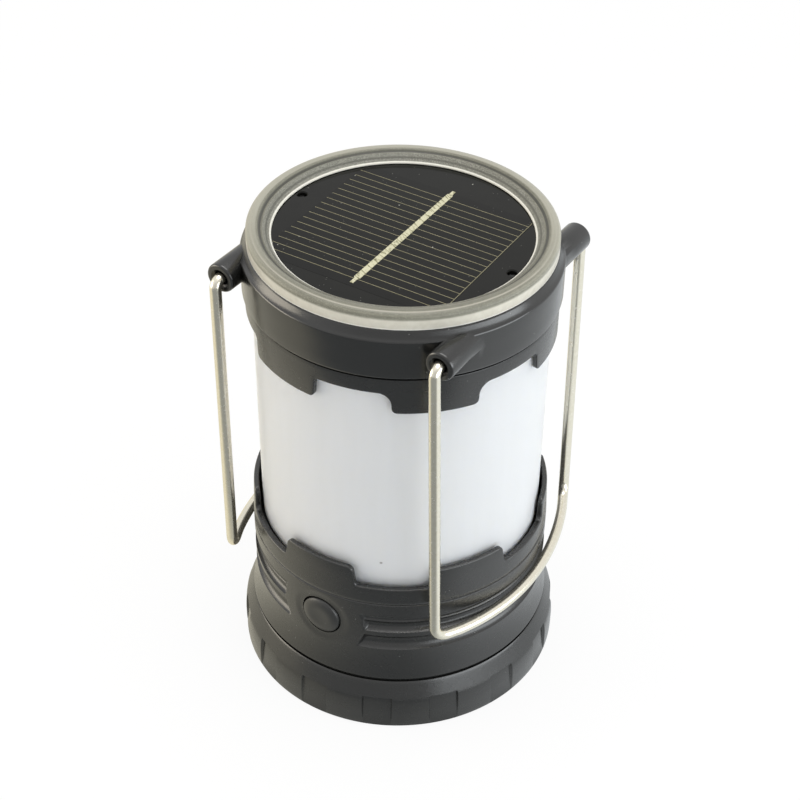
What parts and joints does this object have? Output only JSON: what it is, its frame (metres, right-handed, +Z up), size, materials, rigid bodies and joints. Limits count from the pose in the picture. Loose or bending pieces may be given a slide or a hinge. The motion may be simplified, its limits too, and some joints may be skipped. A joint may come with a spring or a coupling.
{
  "type": "solar lantern",
  "caption": "Upright camping lantern with an opal tube between a black cap and base, a solar panel on top, a push button, a twist-off base cover and two wire carrying bails.",
  "frame": {"origin": "centre of the footprint, on the surface the lantern stands on", "axes": "+Z up; the power button faces -Y; the bails' hinge axes are parallel to Y and the bails hang on the +X and -X sides"},
  "size_m": [0.0968, 0.0968, 0.1483],
  "materials": {
    "black_plastic": "satin moulded black",
    "rim": "silver grey, slightly granular",
    "panel": "clear coated",
    "silicon": "dark, with fine metal grid lines",
    "opal": "milky, translucent",
    "bail_wire": "bright nickel plate",
    "steel": "zinc plated",
    "white_plastic": "white moulded",
    "rubber": "matt",
    "foam": "closed-cell foam",
    "circuit_board": "solder mask",
    "led": "phosphor under clear resin",
    "cell_sleeve": "shrink sleeve",
    "dark_part": "matt black",
    "clear_tube": "clear"
  },
  "bodies": {
    "lantern_body": {"housing": "black_plastic", "base_gasket": "rubber", "tact_switch": "dark_part", "battery_tray": "dark_part", "tray_screw_1": "steel", "tray_screw_2": "steel", "tray_screw_3": "steel", "battery_cell_1": "cell_sleeve", "battery_cell_2": "cell_sleeve", "battery_cell_3": "cell_sleeve", "contact_spring_1": "steel", "contact_spring_2": "steel", "contact_spring_3": "steel", "contact_plate_1": "steel", "contact_plate_2": "steel", "contact_plate_3": "steel", "contact_plate_4": "steel", "control_board": "circuit_board", "board_screw_1": "steel", "board_screw_2": "steel", "board_screw_3": "steel", "inductor": "dark_part", "charge_chip": "dark_part", "lamp_deck": "white_plastic", "deck_screw_1": "steel", "deck_screw_2": "steel", "deck_screw_3": "steel", "led_board": "white_plastic", "led_1": "led", "led_2": "led", "led_3": "led", "led_4": "led", "led_5": "led", "led_6": "led", "lead_tube": "clear_tube", "panel_lead": "dark_part", "diffuser": "opal", "collar_seal": "rubber", "skirt_ring": "black_plastic", "top_cap": "black_plastic", "reflector": "white_plastic", "reflector_screw_1": "steel", "reflector_screw_2": "steel", "reflector_screw_3": "steel", "panel_pad": "foam", "solar_panel": "panel", "solar_cell": "silicon", "rim_ring": "rim"},
    "base_cover": {"base_cover": "black_plastic", "foot_1": "rubber", "foot_2": "rubber", "foot_3": "rubber", "foot_4": "rubber", "battery_pad": "foam"},
    "power_button": {"power_button": "black_plastic", "switch_plunger": "dark_part"},
    "bail_right": {"bail_right": "bail_wire"},
    "bail_left": {"bail_left": "bail_wire"}
  },
  "joints": [
    {"name": "bail_right_swing", "type": "hinge", "parent": "lantern_body", "child": "bail_right", "pos_m": [0.0341, 0, 0.1374], "axis": [0, -1, 0], "range_deg": [0, 192]},
    {"name": "bail_left_swing", "type": "hinge", "parent": "lantern_body", "child": "bail_left", "pos_m": [-0.0341, 0, 0.1374], "axis": [0, 1, 0], "range_deg": [0, 192]},
    {"name": "button_press", "type": "slide", "parent": "lantern_body", "child": "power_button", "axis": [0, 1, 0], "range_m": [0, 0.0012], "stiffness_N_per_m": 1500, "springref_m": -0.0004},
    {"name": "cover_twist", "type": "hinge", "parent": "lantern_body", "child": "base_cover", "pos_m": [0, 0, 0], "axis": [0, 0, 1], "range_deg": [0, 30]}
  ]
}
